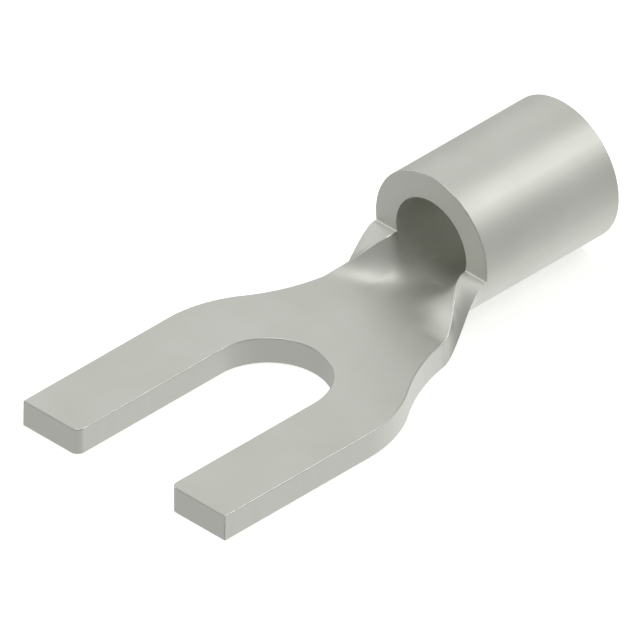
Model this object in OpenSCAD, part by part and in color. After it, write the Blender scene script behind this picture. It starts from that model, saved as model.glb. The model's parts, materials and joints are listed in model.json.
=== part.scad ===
// Uninsulated fork terminal for a crimped wire, stamped and rolled from one sheet.
// The flat tongue has an open slot that slides under a screw's head. Behind it the sheet
// curls up into a closed, seamless barrel for the bare wire.
// The origin is the centre of the slot's round end, on the underside of the tongue.
// +X runs along the barrel towards the wire, +Y across the prongs and +Z up out of the seat.

/* [Sheet] */
// Thickness of the sheet, in the tongue and in the barrel's wall
sheet_t = 1; // [0.7:0.05:1.3]

/* [Fork] */
// Width of the open slot, a little more than its screw
slot_w = 4.4; // [3.4:0.1:5.4]
// Width of each prong
prong_w = 2.6; // [1.6:0.1:3.2]
// Length of the straight prongs, from their tips to the centre of the slot's round end
prong_l = 6.85; // [4:0.05:12]
// Radius that leads the screw in, on the inner corner of each tip
lead_in_r = 0.3; // [0.1:0.05:0.6]

/* [Neck] */
// Length of flat sheet between the slot's round end and the start of the curl
web_l = 3.25; // [3.25:0.05:5]
// Width of the sheet where the curl starts
neck_w = 5.65; // [4.6:0.05:6.4]
// Radius of the hollow shoulders between the fork and the neck
shoulder_r = 7; // [5:0.1:9]
// Length of the curl, from the flat sheet to the barrel's front
curl_l = 2.3; // [1.6:0.05:4]
// Last stretch of that length, which already has the section of the barrel's wall
land_l = 0.05; // [0.05:0.05:0.4]
// Depth of the curl's upper edges below the bore's axis, at the barrel's front
cheek_drop = 0.37; // [0.1:0.01:0.8]

/* [Barrel] */
// Diameter of the bore that takes the bare wire
bore_d = 3.3; // [2.3:0.1:4.3]
// Length of the closed barrel
barrel_l = 6.3; // [4:0.1:10]

/* [Hidden] */
$fn = 96;

// Radii of the barrel and height of its axis, with its lowest line level with the tongue's underside
bore_r = bore_d / 2;
barrel_r = bore_r + sheet_t;
axis_z = barrel_r;

// Where the curl and the barrel start
curl_x = slot_w / 2 + web_l;
barrel_x = curl_x + curl_l;

// Plan of the tongue: a round head about the slot's end, and the neck's corner
head_r = slot_w / 2 + prong_w;
corner = [curl_x, neck_w / 2];
// How far the shoulders bite into the head's circle, so that the arcs cross and don't only touch
bite = 0.002;
shoulder_c = circles_meet(head_r + shoulder_r - bite, corner, shoulder_r);
// How far a cut runs on past the metal
past = 1;

// Steps of the curl's surface, around each section and along X
around = 24;
along = 20;
// How far the curl's end is set in from the faces of the barrel's wall, and runs on into it
seat_in = 0.01;
seat_l = 0.3;

metal = "silver";

// Meeting point, left of p, of a circle of radius r0 about the origin and one of radius r1 about p
function circles_meet(r0, p, r1) =
    let (
        d = norm(p),
        along_p = (r0 * r0 - r1 * r1 + d * d) / (2 * d),
        beside_p = sqrt(r0 * r0 - along_p * along_p)
    )
    (along_p * p + beside_p * [-p.y, p.x]) / d;

// The same point on the other side of the X axis
function mirrored(p) = [p.x, -p.y];

// How much of the roll is done at the share u of the curl's length, with an easy start and end
function rolled(u) = u * u * (3 - 2 * u);

// Point of the rolled wall on radius r, at the share s (-1 to 1) of its way up to the cheeks
function roll_point(r, s) =
    let (a = s * acos(cheek_drop / r))
    [r * sin(a), axis_z - r * cos(a)];

// Point at x between the flat sheet's face at height z (f = 0) and the roll of radius r (f = 1)
function curl_point(x, f, s, z, r) =
    let (p = (1 - f) * [s * neck_w / 2, z] + f * roll_point(r, s))
    [x, p.x, p.y];

// Section of the curl at x: the lower face from right to left, then the upper face back
function curl_section(x, f) = concat(
    [for (i = [0:around]) curl_point(x, f, 2 * i / around - 1, 0, barrel_r - seat_in)],
    [for (i = [0:around]) curl_point(x, f, 1 - 2 * i / around, sheet_t, bore_r + seat_in)]
);

// The two triangles of a four-sided cell, whose corners are given in order
function halves(a, b, c, d) = [[a, b, c], [a, c, d]];

// Skin over sections of equal count, each closed by strips between its lower and upper face
module skin(sections) {
    n = len(sections[0]);
    last = n * (len(sections) - 1);
    walls = [
        for (k = [0:n:last - n], i = [0:n - 1])
        let (a = k + i, b = k + (i + 1) % n)
        each halves(a, a + n, b + n, b)
    ];
    ends = [
        for (i = [0:n / 2 - 2])
        let (a = i, b = i + 1, c = n - 2 - i, d = n - 1 - i)
        each concat(halves(a, b, c, d), halves(last + d, last + c, last + b, last + a))
    ];
    polyhedron(points = [for (s = sections) each s], faces = concat(walls, ends));
}

// Something on the left of the X axis, and its mirror image on the right
module both_sides() {
    children();
    mirror([0, 1, 0]) children();
}

// What a round of radius r takes off a corner at the origin, where the metal lies to +X and +Y
module corner_waste(r) {
    difference() {
        square(r);
        translate([r, r]) circle(r);
    }
}

// Flat sheet between the head and the curl, with its two hollow shoulders
module web_plan() {
    difference() {
        polygon([[0, 0], mirrored(shoulder_c), mirrored(corner), corner, shoulder_c]);
        both_sides() translate(shoulder_c) circle(shoulder_r);
    }
}

// Stamped plan of the tongue, from the tips of the prongs to the start of the curl
module tongue_plan() {
    difference() {
        union() {
            circle(head_r);
            translate([-prong_l, -head_r]) square([prong_l, 2 * head_r]);
            web_plan();
        }
        circle(slot_w / 2);
        translate([-prong_l - past, -slot_w / 2]) square([prong_l + past, slot_w]);
        both_sides() translate([-prong_l, slot_w / 2]) corner_waste(lead_in_r);
    }
}

module tongue() {
    linear_extrude(height = sheet_t) tongue_plan();
}

// Sheet that turns from flat into the lower part of the barrel's wall
module curl() {
    skin([
        for (k = [0:along])
            let (u = k / along)
            curl_section(curl_x + u * (curl_l - land_l), rolled(u)),
        curl_section(barrel_x + seat_l, 1)
    ]);
}

// Closed barrel round the bore
module barrel() {
    translate([barrel_x, 0, axis_z]) rotate([0, 90, 0]) difference() {
        cylinder(h = barrel_l, r = barrel_r);
        translate([0, 0, -past]) cylinder(h = barrel_l + 2 * past, r = bore_r);
    }
}

// The whole terminal, one piece of sheet
module fork_terminal() {
    color(metal) union() {
        tongue();
        curl();
        barrel();
    }
}

fork_terminal();
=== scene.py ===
"""Uninsulated fork terminal: tinned copper sheet, stamped, curled and rolled into a wire barrel."""
import json
import math

import bpy
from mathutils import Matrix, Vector

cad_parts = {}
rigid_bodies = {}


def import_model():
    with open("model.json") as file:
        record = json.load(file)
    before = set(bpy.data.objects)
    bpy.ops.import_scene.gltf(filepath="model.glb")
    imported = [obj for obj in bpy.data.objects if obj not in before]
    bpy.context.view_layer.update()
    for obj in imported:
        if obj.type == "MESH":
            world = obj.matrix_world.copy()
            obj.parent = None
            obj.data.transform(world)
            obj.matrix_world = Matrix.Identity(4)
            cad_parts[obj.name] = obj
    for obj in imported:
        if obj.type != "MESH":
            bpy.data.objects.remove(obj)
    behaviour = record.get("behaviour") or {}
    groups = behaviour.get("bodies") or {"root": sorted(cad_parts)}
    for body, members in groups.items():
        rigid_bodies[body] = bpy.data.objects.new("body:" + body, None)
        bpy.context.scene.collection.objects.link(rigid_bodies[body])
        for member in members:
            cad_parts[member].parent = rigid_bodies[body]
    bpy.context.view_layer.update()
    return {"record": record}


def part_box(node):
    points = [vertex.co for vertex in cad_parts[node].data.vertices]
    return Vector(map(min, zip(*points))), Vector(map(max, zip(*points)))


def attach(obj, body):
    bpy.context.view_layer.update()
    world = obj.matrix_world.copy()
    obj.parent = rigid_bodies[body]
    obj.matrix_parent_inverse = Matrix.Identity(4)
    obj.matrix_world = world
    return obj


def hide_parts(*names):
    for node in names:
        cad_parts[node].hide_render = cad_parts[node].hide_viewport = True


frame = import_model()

# Sizes are in millimetres. The frame is in metres.
MM = 0.001

# Sizes that the frame gives
mounts = {m["name"]: m for m in frame["record"]["mounts"]}
node_low, node_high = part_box("fork_terminal")
SLOT_R = mounts["stud_slot"]["dims"]["r_mm"]
SHEET_T = mounts["stud_slot"]["dims"]["length_mm"]
BORE_R = mounts["wire_bore"]["dims"]["r_mm"]
BARREL_R = BORE_R + SHEET_T
BARREL_L = mounts["wire_bore"]["dims"]["length_mm"]
AXIS_Z = mounts["wire_bore"]["pos_m"][2] / MM
BARREL_MID = mounts["wire_bore"]["pos_m"][0] / MM
BARREL_X = BARREL_MID - BARREL_L / 2
PRONG_L = round(-node_low.x / MM, 3)
HEAD_R = round(node_high.y / MM, 3)

# Sizes of the neck and the tips, as in the part's source
CURL_X = 5.45
NECK_W = 5.65
SHOULDER_R = 7.0
LAND_L = 0.05
CHEEK_DROP = 0.37
LEAD_IN_R = 0.3

# Where the curl ends, and the height of the cheeks' cut there
CURL_END = BARREL_X - LAND_L
CHEEK_Z = AXIS_Z - CHEEK_DROP

# The press folds the sheet along a line on each side before it turns round: the fold's share of the
# way up to the cheek and its rounding, and the shares of the curl over which it fades into the round
FOLD = 0.5
FOLD_ROUND = 0.04
FOLD_END = (0.15, 0.8)

# Softened edges: the width that tumbling and plating take off each edge that turns by more than
# SHARP, and the share of it on the fine edges of faces that look down, under the sheet or in the bore
EDGE_W = 0.04
EDGE_STEPS = 3
SHARP = math.radians(40)
FINE = 0.2
DOWN = -0.13

# Steps of the mesh: round the barrel, up each side to the cheeks, along the curl, in each arc and
# through the sheet, so that the twisted cut faces shade as they turn
AROUND = 192
TO_CHEEK = 40
CURL_STEPS = 40
ARC_STEPS = 24
LEAD_IN_STEPS = 10
THROUGH = 8

# How near a point must lie to count as being in a place
NEAR = 0.001

# Material slots of the terminal
SHEET, CUT, EDGE, CREASE, BORE, SHADED_EDGE = range(6)

# Distance of the lamps, and width and depth of the table below the terminal
LAMP_DISTANCE = 150.0
TABLE_W = 4000.0
TABLE_DROP = 0.01

# Camera: the photograph is an isometric view, which keeps parallel lines parallel
CAMERA_AZIMUTH = -45.0
CAMERA_ELEVATION = 35.02
FRAME_W = 21.513
LOOK_AT = Vector((4.554, 2.083, 0.0))


def deselect_all():
    """Leaves nothing selected in object mode."""
    for other in bpy.context.view_layer.objects:
        other.select_set(False)


def edit(piece):
    """Makes the piece the only selected object and enters edit mode."""
    deselect_all()
    piece.select_set(True)
    bpy.context.view_layer.objects.active = piece
    bpy.ops.object.mode_set(mode="EDIT")


def leave_edit():
    """Goes back to object mode."""
    bpy.ops.object.mode_set(mode="OBJECT")


def select_only(kind, test):
    """In edit mode, selects just the vertices, edges or faces whose middle passes the test."""
    bpy.ops.mesh.select_mode(type=kind)
    bpy.ops.mesh.select_all(action="DESELECT")
    leave_edit()
    mesh = bpy.context.object.data
    points = mesh.vertices
    if kind == "VERT":
        for v in points:
            v.select = test(v.co)
    elif kind == "EDGE":
        for e in mesh.edges:
            e.select = test((points[e.vertices[0]].co + points[e.vertices[1]].co) / 2)
    else:
        for f in mesh.polygons:
            f.select = test(f.center)
    bpy.ops.object.mode_set(mode="EDIT")


def finish_faces(slot, test):
    """Gives the faces whose middle and normal pass the test the finish in that material slot."""
    for f in bpy.context.object.data.polygons:
        if test(f.center, f.normal):
            f.material_index = slot


def pull(x=0.0, y=0.0, z=0.0):
    """Extrudes the selection and moves it."""
    bpy.ops.mesh.extrude_region_move(TRANSFORM_OT_translate={"value": (x, y, z)})


def swing(center, degrees, steps=ARC_STEPS):
    """Draws an arc from the selected vertex, counter-clockwise seen from above."""
    bpy.ops.mesh.spin(steps=steps, angle=math.radians(degrees), center=(*center, 0), axis=(0, 0, -1))


def shoulder_centre():
    """Centre of the hollow shoulder, which touches the head's circle and ends at the neck's corner."""
    far = Vector((CURL_X, NECK_W / 2))
    reach = HEAD_R + SHOULDER_R
    along = (reach ** 2 - SHOULDER_R ** 2 + far.length_squared) / (2 * far.length)
    beside = math.sqrt(reach ** 2 - along ** 2)
    way = far.normalized()
    return along * way + beside * Vector((-way.y, way.x))


def half_outline():
    """Left half of the fork's outline, drawn in edit mode with lines and arcs from the slot's end."""
    shoulder = shoulder_centre()
    touch = math.degrees(math.atan2(shoulder.y, shoulder.x))
    to_corner = Vector((CURL_X, NECK_W / 2)) - shoulder
    turn = math.degrees(math.atan2(to_corner.y, to_corner.x)) - (touch - 180)
    swing((0, 0), 90)
    pull(x=LEAD_IN_R - PRONG_L)
    swing((LEAD_IN_R - PRONG_L, SLOT_R + LEAD_IN_R), -90, steps=LEAD_IN_STEPS)
    pull(y=HEAD_R - SLOT_R - LEAD_IN_R)
    pull(x=PRONG_L)
    swing((0, 0), touch - 90)
    swing(shoulder, turn)
    pull(y=-NECK_W / 2)
    pull(x=SLOT_R - CURL_X)
    bpy.ops.mesh.select_all(action="SELECT")
    bpy.ops.mesh.remove_doubles(threshold=NEAR)


def tongue():
    """Flat fork: half its outline filled, mirrored and raised, and open where the curl joins it."""
    bpy.ops.mesh.primitive_plane_add(size=SHEET_T, location=(SLOT_R, 0, 0))
    piece = bpy.context.object
    bpy.ops.object.transform_apply(location=True, rotation=False, scale=False)
    edit(piece)
    bpy.ops.mesh.merge(type="CENTER")
    half_outline()
    select_only("EDGE", lambda m: m.x > CURL_X - NEAR)
    bpy.ops.mesh.subdivide(number_cuts=TO_CHEEK - 1)
    bpy.ops.mesh.select_all(action="SELECT")
    bpy.ops.mesh.edge_face_add()
    leave_edit()
    mirror = piece.modifiers.new("other half", "MIRROR")
    mirror.use_axis = (False, True, False)
    mirror.merge_threshold = NEAR
    bpy.ops.object.modifier_apply(modifier=mirror.name)
    edit(piece)
    bpy.ops.mesh.select_all(action="SELECT")
    pull(z=SHEET_T)
    bpy.ops.mesh.select_all(action="SELECT")
    bpy.ops.mesh.normals_make_consistent(inside=False)
    select_only("EDGE", lambda m: m.x > CURL_X - NEAR and abs(m.y) > NECK_W / 2 - NEAR)
    bpy.ops.mesh.subdivide(number_cuts=THROUGH - 1)
    select_only("FACE", lambda m: m.x > CURL_X - NEAR)
    bpy.ops.mesh.delete(type="FACE")
    leave_edit()
    # The sheet's sides and tips take the cut finish, painted paler as painted light
    finish_faces(CUT, lambda middle, normal: abs(normal.z) < 0.5)
    return piece


def cheek_angle(r):
    """Angle from the bottom of the ring up to the cheek's cut, on radius r."""
    return math.acos(CHEEK_DROP / r)


def polar(p):
    """Radius and angle from the bottom of the ring, of a point of the barrel's section."""
    y, z = p.y, AXIS_Z - p.z
    return math.hypot(y, z), math.atan2(y, z)


def spread(a, r):
    """Moves evenly spaced angles so that TO_CHEEK of the steps on each side end at the cheek."""
    step = abs(a) * AROUND / (2 * math.pi)
    cheek = cheek_angle(r)
    if step <= TO_CHEEK:
        new = cheek * step / TO_CHEEK
    else:
        new = cheek + (math.pi - cheek) * (step - TO_CHEEK) / (AROUND / 2 - TO_CHEEK)
    return math.copysign(new, a)


def ease(t):
    """Smooth step from 0 to 1."""
    t = min(max(t, 0), 1)
    return t * t * (3 - 2 * t)


def fold_rise(share):
    """Height of a section with a flat floor and a straight wall, at a share of the way to the cheek."""
    past = share - FOLD
    if past < FOLD_ROUND:
        past = max(past + FOLD_ROUND, 0) ** 2 / (4 * FOLD_ROUND)
    return past / (1 - FOLD)


def uncurled(p):
    """Where a point of the straight wall ahead of the barrel goes as the wall folds flat to the tongue."""
    r, a = polar(p)
    u = (p.x - CURL_X) / (CURL_END - CURL_X)
    share = a / cheek_angle(r)
    flat = Vector((p.x, share * NECK_W / 2, BARREL_R - r))
    side = share * r * math.sin(cheek_angle(r))
    folded = Vector((p.x, side, flat.z + (CHEEK_Z - flat.z) * fold_rise(abs(share))))
    round_part = ease((u - FOLD_END[0]) / (FOLD_END[1] - FOLD_END[0]))
    return flat.lerp(folded.lerp(p, round_part), ease(u))


def barrel():
    """Closed barrel with a bridged bore, whose points line up with the cheeks' cuts."""
    bpy.ops.mesh.primitive_cylinder_add(vertices=AROUND, radius=BARREL_R, depth=BARREL_L,
                                        end_fill_type="NGON", location=(BARREL_MID, 0, AXIS_Z),
                                        rotation=(0, math.radians(90), 0))
    piece = bpy.context.object
    bpy.ops.object.transform_apply(location=True, rotation=True, scale=True)
    edit(piece)
    select_only("FACE", lambda m: abs(abs(m.x - BARREL_MID) - BARREL_L / 2) < NEAR)
    for _ in range(THROUGH):
        bpy.ops.mesh.inset(thickness=SHEET_T / THROUGH)
    bpy.ops.mesh.bridge_edge_loops()
    leave_edit()
    for v in piece.data.vertices:
        r, a = polar(v.co)
        r = BARREL_R - SHEET_T / THROUGH * round((BARREL_R - r) / SHEET_T * THROUGH)
        a = spread(a, r)
        v.co = (v.co.x, r * math.sin(a), AXIS_Z - r * math.cos(a))
    return piece


def barrel_and_curl():
    """The barrel, with its lower front wall drawn forward and uncurled."""
    piece = barrel()
    edit(piece)
    select_only("FACE", lambda m: m.x < BARREL_X + NEAR and m.z < CHEEK_Z)
    pull(x=CURL_END - BARREL_X)
    for _ in range(CURL_STEPS):
        pull(x=(CURL_X - CURL_END) / CURL_STEPS)
    bpy.ops.mesh.delete(type="FACE")
    leave_edit()
    # The faces across the sheet take the cut finish, painted paler as painted light
    finish_faces(CUT, lambda middle, normal: abs(normal.x) > 0.9)
    # The cheeks' cut faces round the curl take the edge finish with painted shade
    finish_faces(SHADED_EDGE, lambda middle, normal: middle.x < BARREL_X and abs(normal.z) > 0.9
                 and abs(middle.z - CHEEK_Z) < NEAR)
    finish_faces(BORE, lambda middle, normal: middle.x > BARREL_X and abs(normal.x) < 0.5
                 and polar(middle)[0] < BORE_R + NEAR)
    for v in piece.data.vertices:
        if v.co.x < CURL_END + NEAR:
            v.co = uncurled(v.co)
    return piece


def weigh_edges(piece):
    """Gives each sharp edge its share of the rounding: all of it, or FINE beside a face that looks down."""
    edit(piece)
    bpy.ops.mesh.select_mode(type="EDGE")
    bpy.ops.mesh.select_all(action="DESELECT")
    bpy.ops.mesh.edges_select_sharp(sharpness=SHARP)
    leave_edit()
    mesh = piece.data
    fine = set()
    for f in mesh.polygons:
        if f.normal.z < DOWN and f.center.x < BARREL_MID:
            fine.update(f.edge_keys)
    share = mesh.attributes.new("bevel_weight_edge", "FLOAT", "EDGE")
    for e in mesh.edges:
        if e.select:
            share.data[e.index].value = FINE if e.key in fine else 1.0


def soften_edges(piece):
    """Rounds every sharp edge a little, and gives the crease where the cheeks meet the barrel's front a
    painted highlight.
    """
    weigh_edges(piece)
    bevel = piece.modifiers.new("rubbed corners", "BEVEL")
    bevel.limit_method = "WEIGHT"
    bevel.width = EDGE_W
    bevel.segments = EDGE_STEPS
    bevel.use_clamp_overlap = False
    # The roundings take the corner finish, whose darker colour is painted shade
    bevel.material = EDGE
    bpy.ops.object.modifier_apply(modifier=bevel.name)

    # The patch where a wide rounding meets two fine ones, at each lower corner of the tips, is drawn
    # together, because it would fold over itself
    patch = FINE * EDGE_W
    edit(piece)
    select_only("VERT", lambda p: p.z < 1.5 * patch and p.x < EDGE_W - PRONG_L
                and abs(p.y) > HEAD_R - EDGE_W)
    bpy.ops.mesh.remove_doubles(threshold=2 * patch)
    leave_edit()
    # The crease's faces take the finish with the painted highlight
    finish_faces(CREASE, lambda middle, normal: normal.x < -0.1 and normal.z > 0.1
                 and abs(middle.x - BARREL_X) < EDGE_W and abs(middle.z - CHEEK_Z) < EDGE_W)


def shade(piece):
    """Shades the roundings smoothly, and keeps the flat faces flat."""
    bpy.ops.object.shade_smooth_by_angle(angle=SHARP)
    weights = piece.modifiers.new("flat faces stay flat", "WEIGHTED_NORMAL")
    weights.keep_sharp = True
    weights.weight = 100
    bpy.ops.object.modifier_apply(modifier=weights.name)


def terminal():
    """The whole terminal as one closed skin, in metres, in place of its plain solid."""
    front = tongue()
    piece = barrel_and_curl()
    finishes = (satin_tin(), sheared_edge_painted_light(), burnished_corner_painted_shade(), pale_crease_painted_highlight(), bore_tin(),
                curl_edge_painted_shade())
    for half in (front, piece):
        for material in finishes:
            half.data.materials.append(material)
    deselect_all()
    front.select_set(True)
    piece.select_set(True)
    bpy.context.view_layer.objects.active = piece
    bpy.ops.object.join()
    edit(piece)
    bpy.ops.mesh.select_all(action="SELECT")
    bpy.ops.mesh.remove_doubles(threshold=2 * NEAR)
    bpy.ops.mesh.normals_make_consistent(inside=False)
    leave_edit()
    soften_edges(piece)
    shade(piece)
    piece.name = piece.data.name = "terminal"
    piece.scale = (MM, MM, MM)
    bpy.ops.object.transform_apply(location=False, rotation=False, scale=True)
    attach(piece, "root")
    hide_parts("fork_terminal")


def linear(hex_colour):
    """Linear RGBA of an sRGB hex colour."""
    channels = [int(hex_colour[i:i + 2], 16) / 255 for i in (1, 3, 5)]
    return tuple(c / 12.92 if c <= 0.04045 else ((c + 0.055) / 1.055) ** 2.4 for c in channels) + (1.0,)


def add_node(tree, kind, settings=(), links=()):
    """Adds a node, sets its attributes and sockets by name, and links its inputs to other sockets."""
    node = tree.nodes.new(kind)
    for key, value in dict(settings).items():
        if isinstance(key, str) and hasattr(node, key):
            setattr(node, key, value)
        else:
            node.inputs[key].default_value = value
    for key, socket in dict(links).items():
        tree.links.new(socket, node.inputs[key])
    return node


def lumps(tree, size, detail=2.0):
    """Noise on the piece's own coordinates, with lumps of about size (x, y, z) in millimetres."""
    where = add_node(tree, "ShaderNodeTexCoord")
    stretch = add_node(tree, "ShaderNodeMapping", {"Scale": [1 / (d * MM) for d in size]},
                       {"Vector": where.outputs["Object"]})
    noise = add_node(tree, "ShaderNodeTexNoise", {"Scale": 1.0, "Detail": detail},
                     {"Vector": stretch.outputs["Vector"]})
    return noise.outputs["Fac"]


def tin(name, colour, size, roughness, detail=2.0):
    """Tinned metal whose roughness runs from one value to the other with lumps of that size.

    Returns the material, its tree, its shader and the lumps.
    """
    material = bpy.data.materials.new(name)
    material.use_nodes = True
    tree = material.node_tree
    shader = tree.nodes["Principled BSDF"]
    shader.inputs["Base Color"].default_value = linear(colour)
    shader.inputs["Metallic"].default_value = 1.0
    pattern = lumps(tree, size, detail)
    low, high = roughness
    varied = add_node(tree, "ShaderNodeMapRange",
                      {"From Min": 0.3, "From Max": 0.7, "To Min": low, "To Max": high},
                      {"Value": pattern})
    tree.links.new(varied.outputs["Result"], shader.inputs["Roughness"])
    return material, tree, shader, pattern


def satin_tin():
    """Electroplated matt tin: a warm grey satin, faintly cloudy, with the fine lines of the rolled copper
    sheet showing through along its length."""
    material, tree, shader, lines = tin("satin_tin_plating", "#CFD0C8", (7.0, 0.09, 0.09),
                                        (0.547, 0.573), detail=3.0)
    cloud = add_node(tree, "ShaderNodeMapRange",
                     {"From Min": 0.3, "From Max": 0.7}, {"Value": lumps(tree, (2.6, 2.6, 2.6))})
    base = shader.inputs["Base Color"]
    colour = add_node(tree, "ShaderNodeMix",
                      {"data_type": "RGBA", 6: base.default_value, 7: linear("#D5D6CF")},
                      {0: cloud.outputs["Result"]})
    tree.links.new(colour.outputs[2], base)
    relief = add_node(tree, "ShaderNodeMath", {"operation": "ADD"},
                      {0: lines, 1: lumps(tree, (0.12, 0.12, 0.12))})
    bump = add_node(tree, "ShaderNodeBump", {"Strength": 1.0, "Distance": 0.0008 * MM},
                    {"Height": relief.outputs[0]})
    tree.links.new(bump.outputs["Normal"], shader.inputs["Normal"])
    return material


def punched(name):
    """Tin with the fine upright marks that the punch leaves on a cut face, painted a little paler than the
    sheet's faces as painted light on the sides, and its tree and shader.
    """
    material, tree, shader, marks = tin(name, "#D8D9D2", (0.07, 0.07, 2.5), (0.54, 0.58), detail=3.0)
    bump = add_node(tree, "ShaderNodeBump", {"Strength": 1.0, "Distance": 0.0008 * MM},
                    {"Height": marks})
    tree.links.new(bump.outputs["Normal"], shader.inputs["Normal"])
    return material, tree, shader


def sheared_edge_painted_light():
    """Stamped edge with marks of the punch, painted a little paler than the sheet's faces: painted light on
    the sides.
    """
    return punched("sheared_edge_under_tin")[0]


def curl_edge_painted_shade():
    """Stamped edge that the die draws round the curl, with painted shade: a little darker midway
    between the tongue and the barrel."""
    material, tree, shader = punched("drawn_edge_under_tin")
    where = add_node(tree, "ShaderNodeTexCoord")
    place = add_node(tree, "ShaderNodeSeparateXYZ", {}, {"Vector": where.outputs["Object"]})
    leaving = add_node(tree, "ShaderNodeMapRange",
                       {"interpolation_type": "SMOOTHSTEP", "From Min": (CURL_X + 0.1) * MM,
                        "From Max": (CURL_X + 0.9) * MM}, {"Value": place.outputs["X"]})
    arriving = add_node(tree, "ShaderNodeMapRange",
                        {"interpolation_type": "SMOOTHSTEP", "From Min": BARREL_X * MM,
                         "From Max": (BARREL_X - 0.9) * MM}, {"Value": place.outputs["X"]})
    # Painted shade, strongest midway between the tongue and the barrel
    painted_shade = add_node(tree, "ShaderNodeMath", {"operation": "MULTIPLY"},
                      {0: leaving.outputs["Result"], 1: arriving.outputs["Result"]})
    base = shader.inputs["Base Color"]
    colour = add_node(tree, "ShaderNodeMix",
                      {"data_type": "RGBA", 6: base.default_value, 7: linear("#CBCCC5")},
                      {0: painted_shade.outputs[0]})
    tree.links.new(colour.outputs[2], base)
    return material


def burnished_corner_painted_shade():
    """Corner that tumbling has worn smoother, so that it draws a thin light line towards the lamps; its
    colour is painted a little darker, a painted shade that draws a thin dark one away from them."""
    return tin("burnished_tin_corner", "#C6C7C0", (0.8, 0.8, 0.8), (0.32, 0.42))[0]


def pale_crease_painted_highlight():
    """Crease between the barrel's front and the cheeks, painted pale: a painted highlight that draws a thin
    light line.
    """
    return tin("tin_gathered_in_crease", "#E9E9E3", (0.3, 0.3, 0.3), (0.38, 0.48))[0]


def bore_tin():
    """Plating inside the bore, which tumbling doesn't reach: rougher, so that the bore is evenly dark."""
    return tin("rough_tin_in_bore", "#D1D2CA", (1.2, 1.2, 1.2), (0.6, 0.68))[0]


def table():
    """White table a hair below the terminal. Its glow shows in the metal through the surroundings."""
    bpy.ops.mesh.primitive_plane_add(size=TABLE_W * MM, location=(0, 0, node_low.z - TABLE_DROP * MM))
    plane = bpy.context.object
    plane.name = "table"
    plane.visible_glossy = False
    material = bpy.data.materials.new("white_table")
    material.use_nodes = True
    tree = material.node_tree
    tree.nodes.clear()
    matt = add_node(tree, "ShaderNodeBsdfDiffuse", {"Color": linear("#F4F4F2")})
    rays = add_node(tree, "ShaderNodeLightPath")
    glow = add_node(tree, "ShaderNodeEmission", {"Strength": 0.5}, {"Color": rays.outputs["Is Camera Ray"]})
    both = add_node(tree, "ShaderNodeAddShader", {}, {0: matt.outputs[0], 1: glow.outputs[0]})
    add_node(tree, "ShaderNodeOutputMaterial", {}, {"Surface": both.outputs[0]})
    plane.data.materials.append(material)


def softbox(name, direction, degrees, radiance):
    """Round soft lamp that looks so many degrees wide from the terminal. A radiance of 1 is white."""
    way = Vector(direction).normalized()
    width = 2 * LAMP_DISTANCE * math.tan(math.radians(degrees / 2)) * MM
    lamp = bpy.data.lights.new(name, "AREA")
    lamp.shape = "DISK"
    lamp.size = width
    lamp.energy = radiance * (math.pi * width / 2) ** 2
    holder = bpy.data.objects.new(name, lamp)
    bpy.context.scene.collection.objects.link(holder)
    holder.location = (node_low + node_high) / 2 + way * LAMP_DISTANCE * MM
    holder.rotation_euler = way.to_track_quat("Z", "Y").to_euler()
    holder.visible_camera = False


def surroundings():
    """Pale surroundings, lighter below and behind the barrel, and plain white to the camera."""
    world = bpy.data.worlds.new("studio")
    bpy.context.scene.world = world
    world.use_nodes = True
    tree = world.node_tree
    way = add_node(tree, "ShaderNodeTexCoord").outputs["Generated"]
    below = add_node(tree, "ShaderNodeVectorMath", {"operation": "DOT_PRODUCT", 1: (0, 0, -0.2)}, {0: way})
    behind = add_node(tree, "ShaderNodeVectorMath",
                      {"operation": "DOT_PRODUCT", 1: Vector((1, 0, -1)).normalized()}, {0: way})
    facing = add_node(tree, "ShaderNodeMath", {"operation": "MAXIMUM", 1: 0.0},
                      {0: behind.outputs["Value"]})
    patch = add_node(tree, "ShaderNodeMath", {"operation": "POWER", 1: 4.0}, {0: facing.outputs[0]})
    level = add_node(tree, "ShaderNodeMath", {"operation": "MULTIPLY_ADD", 1: 0.76, 2: 0.515},
                     {0: patch.outputs[0]})
    total = add_node(tree, "ShaderNodeMath", {"operation": "ADD"},
                     {0: level.outputs[0], 1: below.outputs["Value"]})
    background = tree.nodes["Background"]
    background.inputs["Color"].default_value = (1, 1, 1, 1)
    tree.links.new(total.outputs[0], background.inputs["Strength"])
    white = add_node(tree, "ShaderNodeBackground", {"Color": (1, 1, 1, 1), "Strength": 1.0})
    rays = add_node(tree, "ShaderNodeLightPath")
    seen = add_node(tree, "ShaderNodeMixShader", {},
                    {0: rays.outputs["Is Camera Ray"], 1: background.outputs[0], 2: white.outputs[0]})
    tree.links.new(seen.outputs[0], tree.nodes["World Output"].inputs["Surface"])


def studio():
    """Surroundings, and four soft lamps above."""
    surroundings()
    softbox("key", (0.55, -0.45, 0.70), 30, 3.52)
    softbox("top", (-0.12, 0.08, 1), 24, 5.9)
    softbox("back", (-0.3, 0.85, 0.4), 40, 1.31)
    softbox("corner", (0.58, 0.58, 0.57), 44, 0.58)


def camera():
    """Isometric camera with the photograph's direction and framing."""
    a, e = math.radians(CAMERA_AZIMUTH), math.radians(CAMERA_ELEVATION)
    back = Vector((math.sin(a) * math.cos(e), -math.cos(a) * math.cos(e), math.sin(e)))
    distance = 2 * FRAME_W
    data = bpy.data.cameras.new("camera")
    data.type = "ORTHO"
    data.ortho_scale = FRAME_W * MM
    data.clip_start = distance * MM / 100
    data.clip_end = distance * MM * 20
    holder = bpy.data.objects.new("camera", data)
    bpy.context.scene.collection.objects.link(holder)
    holder.location = (LOOK_AT + back * distance) * MM
    holder.rotation_euler = back.to_track_quat("Z", "Y").to_euler()
    bpy.context.scene.camera = holder


camera()
terminal()
table()
studio()
bpy.context.scene.view_settings.view_transform = "Standard"
